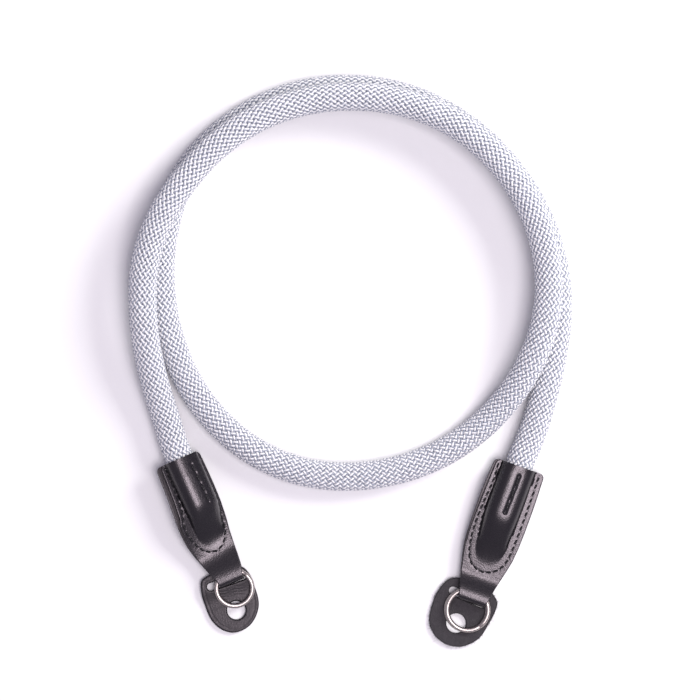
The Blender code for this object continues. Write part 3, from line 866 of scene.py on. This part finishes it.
def flat_run(end, layer, places, sign):
    """Outside and inside points of one leg of the strip, and how near each is to a cut edge, from 0 to 1.

    The outside is z = middle plane plus or minus its height, and the inside lies one leather
    thickness within.
    """
    left, right = edge_places(end, places, layer)
    across = across_places(left, right)
    along = np.broadcast_to(places[:, None], across.shape)
    drop = edge_drop(left, right, across)
    outer = outer_rise(end, along, across) - drop
    inner = np.maximum(outer_rise(end, along, across, dimples=False) - LEATHER, HALF_GAP)
    inner = np.minimum(inner + INNER_ROUND * drop, outer - THINNEST)
    outside, inside = (rolled(end, along, across, sign * height) for height in (outer, inner))
    return outside, inside, drop / EDGE_ROUND


def fold_run(end):
    """The same round the fold, where both faces follow a superellipse in (along, height)."""
    turn = end["length"] - FOLD_REACH
    steps = np.linspace(0.0, math.pi, FOLD_ROWS + 2)[1:-1]
    left, right = edge_places(end, turn + FOLD_REACH * np.sin(steps), "upper")
    across = across_places(left, right)
    drop = edge_drop(left, right, across)
    share = np.sin(steps)[:, None]
    high = np.clip(1 - share ** FOLD_POWER, 0.0, 1.0) ** (1 / FOLD_POWER)
    high = np.sign(np.cos(steps))[:, None] * high
    heading = np.stack([share ** 2, high * np.abs(high)], axis=-1)
    heading /= np.linalg.norm(heading, axis=-1)[..., None]
    middle = middle_height(end, np.full_like(share, turn))
    faces = []
    for depth, rounding in ((0.0, -1.0), (LEATHER, INNER_ROUND)):
        along = turn + (FOLD_REACH - depth) * share + rounding * drop * heading[..., 0]
        height = middle + (FOLD_HALF - depth) * high + rounding * drop * heading[..., 1]
        faces.append(np.stack([across, along, height], axis=-1))
    return faces[0], faces[1], drop / EDGE_ROUND


def leather_strip_rows(end):
    """Outside points, inside points and edge marks, from the upper mouth round the fold to the lower."""
    last = end["length"] - FOLD_REACH - ROWS_BEFORE_FOLD
    upper = np.concatenate([MOUTH_ROWS, np.arange(NEXT_ROW, last, UPPER_STEP)])
    lower = np.concatenate([MOUTH_ROWS, np.arange(NEXT_ROW, last, LOWER_STEP)])[::-1]
    runs = [flat_run(end, "upper", upper, 1.0), fold_run(end), flat_run(end, "lower", lower, -1.0)]
    return [np.concatenate(parts) for parts in zip(*runs)]


def make_leather_end(side, end):
    """One closed strip: rings of outside points and, backwards, inside points, with rims at the mouth."""
    outside, inside, cut_edge = leather_strip_rows(end)
    rings = np.concatenate([outside, inside[:, ::-1]], axis=1)
    rows, columns = rings.shape[:2]
    half = columns // 2
    quads = grid_quads(rows, columns, close_columns=True)
    i = np.arange(half - 1)
    rim = np.stack([i + 1, i, columns - 1 - i, columns - 2 - i], axis=1)
    last = rim[:, ::-1] + (rows - 1) * columns
    marks = np.concatenate([cut_edge, np.ones_like(cut_edge)], axis=1)
    piece = make_piece(
        f"{side}_leather_cover", in_row_frame(end, rings), [quads, rim, last], COVER_LEATHER,
        marks={"cut_edge": marks}, sharp=50,
    )
    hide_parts(f"leather_end_{side}")


def stitch_rings(end, holes, radius, lift, slant):
    """Rings of points of one row's stitches, first on the upper side and then on the lower one.

    At share t along a stitch the thread's centre lies at the surface plus its lift and an arc that
    goes with sin(pi t)^0.6, and its radius is the thread's times (1 - (2t - 1)^6)^0.5, so both ends
    close.
    """
    around = np.arange(THREAD_SIDES) * 2 * math.pi / THREAD_SIDES
    start, stop = holes[:-1], holes[1:]
    step = stop - start
    beside = np.stack([-step[:, 1], step[:, 0]], axis=1)
    step = step * math.cos(slant) + beside * math.sin(slant)
    way = STITCH_SHARE * (STITCH_PLACES - 0.5)
    line = (start + stop)[:, None] / 2 + step[:, None] * way[None, :, None]
    along, across = line[..., 0], line[..., 1]
    heading = step / np.linalg.norm(step, axis=-1)[:, None]
    arc = STITCH_ARC * (np.sin(math.pi * STITCH_PLACES) ** 0.6 - STITCH_SINK)
    centre = outer_rise(end, along, across) + lift + arc
    thick = radius * np.sqrt(np.clip(1 - (2 * STITCH_PLACES - 1) ** 6, 0.0, 1.0)) + THREAD_TIP
    sideways = thick[None, :, None] * np.cos(around)
    across = across[..., None] + heading[:, 0][:, None, None] * sideways
    along = along[..., None] - heading[:, 1][:, None, None] * sideways
    height = centre[..., None] + thick[None, :, None] * np.sin(around)
    return rolled(end, along, across, height), rolled(end, along, across, -height)[:, :, ::-1]


def make_stitches(side, end):
    """Thread between neighbouring holes, as closed bent capsules: the seam's row and the middle one."""
    _, seam_holes, centre_holes = hole_places(end)
    rings = np.concatenate([
        *stitch_rings(end, seam_holes, SEAM_THREAD, SEAM_LIFT, STITCH_SLANT),
        *stitch_rings(end, centre_holes, ROW_THREAD, ROW_LIFT, 0.0),
    ])
    count, rows, columns = rings.shape[:3]
    quads, first = many_grids(count, rows, columns, close_columns=True)
    end_cap = first + np.arange(columns)[None, :]
    far_cap = end_cap[:, ::-1] + (rows - 1) * columns
    along, around = np.meshgrid(
        THREAD_UV[0] * STITCH_PLACES, THREAD_UV[1] * np.arange(columns) / columns, indexing="ij"
    )
    make_piece(
        f"{side}_stitches", in_row_frame(end, rings), [quads[:, ::-1], end_cap, far_cap],
        WAXED_THREAD,
        uv=np.broadcast_to(np.stack([around, along], axis=-1), (count, rows, columns, 2)),
    )


def ring_reach(end):
    """How far the ring's middle lies past the fold's tip, with its wire just clear of the fold."""
    inner_radius = end["ring_diameter"] / 2 - WIRE
    half_chord = end["fold_width"] / 2 + abs(end["ring_offset"])
    return math.sqrt(inner_radius ** 2 - half_chord ** 2) - LEATHER - RING_PLAY


def slot_limits(end):
    """The slot's two edges, measured from the lug hole's centre towards the strap.

    The edge at the fold is drawn shut a little, so that less of the slot shows than in the CAD model.
    """
    low = end["hole_to_fold"] - end["slot_before_fold"]
    return low + SLOT_CLOSED, low + end["slot_width"]


def wire_rings(end, step_bearing, lower_shift):
    """Angle and rings of points along a split ring's wire, in the ring's own plane.

    The centre line is a circle whose height is minus or plus a quarter of the wire, with a smooth
    step round the end of the first turn, and the lower turn lies a little to one side. The section
    is an ellipse, and both ends are ground to a short taper.
    """
    radius = (end["ring_diameter"] - WIRE) / 2
    turns = np.linspace(0.0, 2 * math.pi * RING_TURNS, RING_STEPS)
    step = smoothstep((turns - 2 * math.pi * RING_STEP_AT) / (2 * math.pi * RING_STEP_RUN))
    around = np.arange(RING_SIDES) * 2 * math.pi / RING_SIDES
    from_end = np.minimum(turns, turns[-1] - turns)
    taper = (RING_TIP + (1 - RING_TIP) * np.minimum(from_end / RING_TAPER_RUN, 1.0))[:, None]
    bearing = (step_bearing + turns)[:, None]
    reach = radius + np.cos(around) * WIRE / 2 * taper
    x = reach * np.cos(bearing) + lower_shift[0] * (1 - step)[:, None]
    y = reach * np.sin(bearing) + lower_shift[1] * (1 - step)[:, None]
    z = (step - 0.5)[:, None] * WIRE * RING_TURN_GAP + np.sin(around) * WIRE * RING_HALF_HEIGHT * taper
    return turns, np.stack([x, y, z], axis=-1)


def lean_on_pad(end, points):
    """Points of the ring's plane tilted down from the bar that the tab holds to the pad's face."""
    radius = (end["ring_diameter"] - WIRE) / 2
    bar_edge = slot_limits(end)[1] - end["hole_to_fold"] + ring_reach(end)
    slope = (BAR_TOP - PAD_THICKNESS) / (bar_edge + radius)
    tilt = -math.atan(slope)
    x, y, z = points[..., 0], points[..., 1], points[..., 2]
    on_pad = PAD_THICKNESS + CLEARANCE + WIRE / 2
    return np.stack([
        end["ring_offset"] + x,
        end["length"] + ring_reach(end) + y * math.cos(tilt) - z * math.sin(tilt),
        on_pad + radius * slope + y * math.sin(tilt) + z * math.cos(tilt),
    ], axis=-1)


def make_split_ring(side, end, step_bearing, lower_shift):
    """Two turns of flat wire one on the other, from the lower turn to the upper one by a short slope."""
    turns, rings = wire_rings(end, step_bearing, lower_shift)
    quads = grid_quads(len(turns), RING_SIDES, close_columns=True)
    cap = np.arange(RING_SIDES)[None, :]
    far_cap = cap[:, ::-1] + (len(turns) - 1) * RING_SIDES
    uv = np.stack(np.meshgrid(turns, np.arange(RING_SIDES) / RING_SIDES, indexing="ij"), axis=-1)
    piece = make_piece(
        f"{side}_split_ring", in_row_frame(end, lean_on_pad(end, rings)),
        [quads[:, ::-1], cap, far_cap], RING_STEEL, uv=uv, sharp=45,
    )
    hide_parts(f"ring_{side}")


def pad_place(end, points):
    """Points of a pad's own frame (across, away from the strap, up) turned, then set past the fold."""
    angle = math.radians(end["pad_turn"])
    x, y, z = points[..., 0], points[..., 1], points[..., 2]
    turned = np.stack([
        end["pad_offset"] + x * math.cos(angle) - y * math.sin(angle),
        end["length"] + end["hole_to_fold"] + x * math.sin(angle) + y * math.cos(angle),
        z,
    ], axis=-1)
    return in_row_frame(end, turned)


def even_loop(loop, step):
    """A closed loop of points at even steps."""
    closed = np.concatenate([loop, loop[:1]])
    length = lengths_along(closed)[-1]
    count = int(round(length / step))
    return read_curve(closed, np.arange(count) * length / count)


def into_leather(loop, inwards):
    """Unit directions across a loop, into its inside or away from it, from its neighbours' chord."""
    chord = np.roll(loop, -1, axis=0) - np.roll(loop, 1, axis=0)
    normal = np.stack([-chord[:, 1], chord[:, 0]], axis=1)
    normal /= np.linalg.norm(normal, axis=1)[:, None]
    return normal * (1.0 if (turned_area(loop) > 0) == inwards else -1.0)


def inside_loop(points, loop):
    """Whether points lie in a loop: the number of its sides that a ray to the right crosses is odd."""
    x, y = points[:, None, 0], points[:, None, 1]
    x0, y0 = loop[None, :, 0], loop[None, :, 1]
    x1, y1 = np.roll(loop, -1, axis=0).T[:, None, :]
    crosses = (y0 > y) != (y1 > y)
    rise = np.where(y1 == y0, 1.0, y1 - y0)
    return np.sum(crosses & (x < (x1 - x0) * (y - y0) / rise + x0), axis=1) % 2 == 1


def nearest_gap(points, loop):
    """Distance from each point to the nearest point of a loop."""
    return np.min(np.linalg.norm(points[:, None, :] - loop[None], axis=-1), axis=1)


def pad_rise(end, points):
    """The pad's bend: flat round the hole, then up to the bar that the tab holds, by a smooth step."""
    near = end["hole_diameter"] / 2 + PAD_FLAT_PAST_HOLE * PAD_THICKNESS
    far = slot_limits(end)[1]
    return BAR_BOTTOM * smoothstep((-points[:, 1] - near) / (far - near))


def pad_outline(side, step):
    """A pad's outline as a loop with even steps, in the pad's own frame."""
    knots = -np.array(PAD_OUTLINES[side])[:, ::-1] * MM
    return even_loop(curve_through(knots, 16, closed=True), step)


def pad_loops(side, end, edge_wander):
    """The plate's outline, lug hole and slot as closed loops, each with its directions into the leather.

    The outline wanders in and out by a seeded, smoothed ripple.
    """
    rng = np.random.default_rng(5)
    outline = pad_outline(side, PAD_STEP)
    ripple = np.convolve(rng.normal(0.0, 1.0, 3 * len(outline)), np.hanning(RIPPLE_POINTS), "same")
    outline = outline + into_leather(outline, True) * edge_wander * ripple[:len(outline), None]
    turn = np.arange(LOOP_STEPS) * 2 * math.pi / LOOP_STEPS
    hole = end["hole_diameter"] / 2 * np.stack([np.cos(turn), np.sin(turn)], axis=1)
    turn = turn + math.pi / LOOP_STEPS
    low, high = slot_limits(end)
    corner = (high - low) / 2
    straight = end["slot_length"] / 2 - corner
    slot = even_loop(np.stack([
        np.sign(np.cos(turn)) * straight + corner * np.cos(turn),
        -(low + high) / 2 + corner * np.sin(turn),
    ], axis=1), PAD_STEP)
    return [
        (outline, into_leather(outline, True)), (hole, into_leather(hole, False)),
        (slot, into_leather(slot, False)),
    ]


def in_plate(points, rims):
    """Whether points lie inside the first rim and outside the two others."""
    outline, hole, slot = (inside_loop(points, rim) for rim in rims)
    return outline & ~hole & ~slot


def pad_triangles(rims):
    """A triangulated plate between its rims: points, triangles turned left, and each rim's points.

    The rims' edges are kept, and the points between them are a staggered grid.
    """
    rim = np.concatenate(rims)
    starts = np.cumsum([0] + [len(loop) for loop in rims])
    indices = [np.arange(len(loop)) + start for loop, start in zip(rims, starts)]
    edges = np.concatenate([np.stack([index, np.roll(index, -1)], axis=1) for index in indices])
    span = np.arange(-PAD_GRID_HALF, PAD_GRID_HALF, PAD_GRID)
    grid = np.stack(np.meshgrid(span, span, indexing="ij"), axis=-1).reshape(-1, 2)
    grid[:, 0] += 0.5 * PAD_GRID * (np.round(grid[:, 1] / PAD_GRID) % 2)
    grid = grid[in_plate(grid, rims)]
    grid = grid[nearest_gap(grid, rim) > PAD_GRID_CLEAR * PAD_GRID]
    given = np.concatenate([rim, grid])
    made = delaunay_2d_cdt([Vector(point) for point in given], edges.tolist(), [], 0, 1e-7)
    flat = np.array([tuple(point) for point in made[0]])
    triangles = np.array([face for face in made[2] if len(face) == 3])
    triangles = triangles[in_plate(flat[triangles].mean(axis=1), rims)]
    shared = [len(old) for old in made[3]]
    place_of = np.zeros(len(given), int)
    place_of[np.concatenate(made[3]).astype(int)] = np.repeat(np.arange(len(shared)), shared)
    a, b, c = (flat[triangles[:, corner]] for corner in range(3))
    turned = (b[:, 0] - a[:, 0]) * (c[:, 1] - a[:, 1]) - (b[:, 1] - a[:, 1]) * (c[:, 0] - a[:, 0]) < 0
    triangles[turned] = triangles[turned][:, ::-1]
    return flat, triangles, [place_of[index] for index in indices]


def pad_walls(end, loops, rim_points, face_size):
    """Points and quads of the walls that join the upper face's rims to the lower one's.

    Each is a half oval, drawn inwards by the rim's radius times (1 - sine) at its top and bottom.
    """
    levels = np.concatenate([PAD_THICKNESS - PAD_WALL_DEPTHS, PAD_WALL_DEPTHS[::-1]])
    drawn_in = PAD_RIM * (1 - np.sin(PAD_WALL_ANGLES))
    points, groups = [], []
    count = 2 * face_size
    for (loop, direction), top in zip(loops, rim_points):
        wall = loop[None] + direction[None] * drawn_in[:, None, None]
        height = pad_rise(end, loop)[None] + levels[:, None]
        points.append(np.concatenate([wall, height[..., None]], axis=-1).reshape(-1, 3))
        ids = np.arange(height.size).reshape(height.shape) + count
        chain = np.concatenate([top[None], ids, top[None] + face_size])
        beside = np.roll(chain, -1, axis=1)
        quads = np.stack([chain[:-1], beside[:-1], beside[1:], chain[1:]], axis=-1).reshape(-1, 4)
        outer = loop is loops[0][0]
        groups.append(quads[:, ::-1] if (turned_area(loop) > 0) == outer else quads)
        count += height.size
    return points, groups


def make_bumper_pad(side, end, finish, surface_relief, edge_wander):
    """A leather plate with a lug hole and a slot; its upper face lies one thickness over the lower."""
    loops = pad_loops(side, end, edge_wander)
    rims = [loop + direction * PAD_RIM for loop, direction in loops]
    flat, triangles, rim_points = pad_triangles(rims)
    border = nearest_gap(flat, loops[0][0])
    base = pad_rise(end, flat)
    upper = np.column_stack([flat, base + PAD_THICKNESS + surface_relief(end, flat, border)])
    lower = np.column_stack([flat, base])
    walls, wall_quads = pad_walls(end, loops, rim_points, len(flat))
    points = np.concatenate([upper, lower, *walls])
    cut_edge = np.arange(len(points)) >= 2 * len(flat)
    piece = make_piece(
        f"{side}_bumper_pad", pad_place(end, points),
        [triangles, triangles[:, ::-1] + len(flat), *wall_quads], finish,
        marks={"cut_edge": cut_edge}, sharp=60,
    )
    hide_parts(f"bumper_{side}")


def fibre_lines(side, end):
    """Middle lines of loose fibres, their heights, and their directions at the root.

    Each starts at a seeded place on the outline and height, and is a straight run outwards plus half
    the square of the way along times a seeded bend.
    """
    rng = np.random.default_rng(23)
    outline = pad_outline(side, PAD_STEP / 2)
    outwards = -into_leather(outline, True)
    start = rng.integers(0, len(outline), PAD_FIBRES)
    way = np.linspace(0.0, 1.0, FIBRE_POINTS)[None, :]
    length = rng.gamma(2.0, FIBRE_LENGTH, PAD_FIBRES)[:, None]
    heading = outwards[start] + rng.normal(0.0, FIBRE_SPREAD, (PAD_FIBRES, 2))
    bend = rng.normal(0.0, FIBRE_BEND, (PAD_FIBRES, 2))
    flat = (outline[start] - outwards[start] * FIBRE_ROOT)[:, None]
    flat = flat + (length * way)[..., None] * heading[:, None]
    flat = flat + 0.5 * (length * way ** 2)[..., None] * bend[:, None]
    height = rng.uniform(FIBRE_START, PAD_THICKNESS - FIBRE_ROOT, PAD_FIBRES)[:, None]
    height = height + rng.normal(0.0, FIBRE_LIFT, PAD_FIBRES)[:, None] * length * way ** 2
    height = height + pad_rise(end, flat.reshape(-1, 2)).reshape(height.shape)
    return flat, np.maximum(height, FIBRE_LOWEST), heading


def make_pad_fibres(side, end):
    """Loose fibres on the cut edge of the flesh side: thin three-sided hairs that curl out of the wall."""
    flat, height, heading = fibre_lines(side, end)
    thick = FIBRE_RADIUS * (1 - FIBRE_THINS * np.linspace(0.0, 1.0, FIBRE_POINTS))[:, None]
    turn = np.arange(3) * 2 * math.pi / 3
    beside = np.stack([-heading[:, 1], heading[:, 0]], axis=1)
    beside /= np.linalg.norm(beside, axis=1)[:, None]
    ring = flat[:, :, None] + beside[:, None, None] * (thick * np.cos(turn))[..., None]
    up = height[..., None] + thick * np.sin(turn)
    sides, first = many_grids(PAD_FIBRES, FIBRE_POINTS, 3, close_columns=True)
    caps = [first + np.array([[2, 1, 0]]), first + 3 * (FIBRE_POINTS - 1) + np.arange(3)[None, :]]
    make_piece(
        f"{side}_pad_fibres", pad_place(end, np.concatenate([ring, up[..., None]], axis=-1)),
        [sides, *caps], ROUGH_PAD_LEATHER,
        marks={"cut_edge": np.full(up.size, HALF_WORN)},
    )


def creased_face(end, points, border):
    """A pressed line inside the border, and wrinkles across the bend between hole and slot."""
    line = -CREASE_DEPTH * np.exp(-((border - CREASE_INSIDE) / CREASE_WIDTH) ** 2)
    towards = -points[:, 1]
    low, _ = slot_limits(end)
    bend = smoothstep((towards - WRINKLE_START) / WRINKLE_FADE) * smoothstep((low - towards) / WRINKLE_FADE)
    bend *= smoothstep((WRINKLE_HALF_WIDTH - np.abs(points[:, 0])) / (2 * WRINKLE_FADE))
    sway = WRINKLE_SWAY * np.sin(points[:, 0] * 900.0)
    return line + WRINKLE_DEPTH * bend * np.sin((towards + sway) * 2 * math.pi / WRINKLE_PITCH)


def napped_face(end, points, border):
    """The flesh side: a gentle fall towards the border, with low uneven swells."""
    swells = np.sin(points[:, 0] * 1900.0 + 1.0) + np.sin(points[:, 1] * 1700.0)
    return SWELL_DEPTH * swells - BORDER_FALL * np.exp(-(border / BORDER_RUN) ** 2)


for side, end in ENDS.items():
    make_leather_end(side, end)
    make_stitches(side, end)
make_split_ring("left", ENDS["left"], step_bearing=math.radians(214.0), lower_shift=(0.0, 0.0))
make_split_ring("right", ENDS["right"], step_bearing=math.radians(150.0), lower_shift=(0.00035, 0.0002))
make_bumper_pad(
    "left", ENDS["left"], SMOOTH_PAD_LEATHER, creased_face, edge_wander=0.000004
)
make_bumper_pad(
    "right", ENDS["right"], ROUGH_PAD_LEATHER, napped_face, edge_wander=0.000020
)
make_pad_fibres("right", ENDS["right"])


def add_camera():
    """Straight above the coil, far off with a long lens, as the photograph is taken."""
    lens = bpy.data.cameras.new("camera")
    lens.lens = 200.0
    lens.sensor_width = 36.0
    lens.clip_end = 10.0
    camera = bpy.data.objects.new("camera", lens)
    camera.location = (0.0, 0.0816, 1.603)
    bpy.context.scene.collection.objects.link(camera)
    bpy.context.scene.camera = camera


def add_light(name, place, size, power, colour):
    """A square area light that faces the middle of the table."""
    lamp = bpy.data.lights.new(name, "AREA")
    lamp.size = size
    lamp.energy = power
    lamp.color = colour
    light = bpy.data.objects.new(name, lamp)
    light.location = place
    towards = np.array(TABLE_MIDDLE) - np.array(place)
    light.rotation_euler = Vector(towards).to_track_quat("-Z", "Y").to_euler()
    bpy.context.scene.collection.objects.link(light)
    return light


def table_material():
    """Matt white paper with a faint mottle."""
    made, tree, shader = new_material("white table")
    colour = colour_between(tree, speckle(tree, 60.0), (0.88, 0.88, 0.885), (0.90, 0.90, 0.90))
    feed(tree, shader, {"Base Color": colour, "Roughness": 0.9, "Specular IOR Level": 0.1})
    return made


def add_table():
    """A flat square sheet just under the strap."""
    half = TABLE_SIZE / 2
    corners = np.array([(-half, -half, 0), (half, -half, 0), (half, half, 0), (-half, half, 0)], float)
    mesh = bpy.data.meshes.new("table")
    mesh.from_pydata(corners.tolist(), [], [(0, 1, 2, 3)])
    mesh.materials.append(table_material())
    table = bpy.data.objects.new("table", mesh)
    table.location = (*TABLE_MIDDLE[:2], -TABLE_DROP)
    bpy.context.scene.collection.objects.link(table)


def light_scene():
    """A wide soft box overhead, a smaller one at the upper right, and a lilac room."""
    add_light("overhead", (0.36, -0.15, 1.9), size=0.85, power=25.0, colour=(1.0, 0.93, 0.98))
    key = add_light("key", (0.80, 0.60, 0.75), size=0.50, power=11.0, colour=(1.0, 1.0, 0.97))
    key.visible_glossy = False
    world = bpy.data.worlds.new("room")
    world.use_nodes = True
    bpy.context.scene.world = world
    background = world.node_tree.nodes["Background"]
    background.inputs["Color"].default_value = (0.86, 0.80, 1.0, 1.0)
    background.inputs["Strength"].default_value = 0.36
    bpy.context.scene.view_settings.view_transform = "Standard"


add_camera()
add_table()
light_scene()
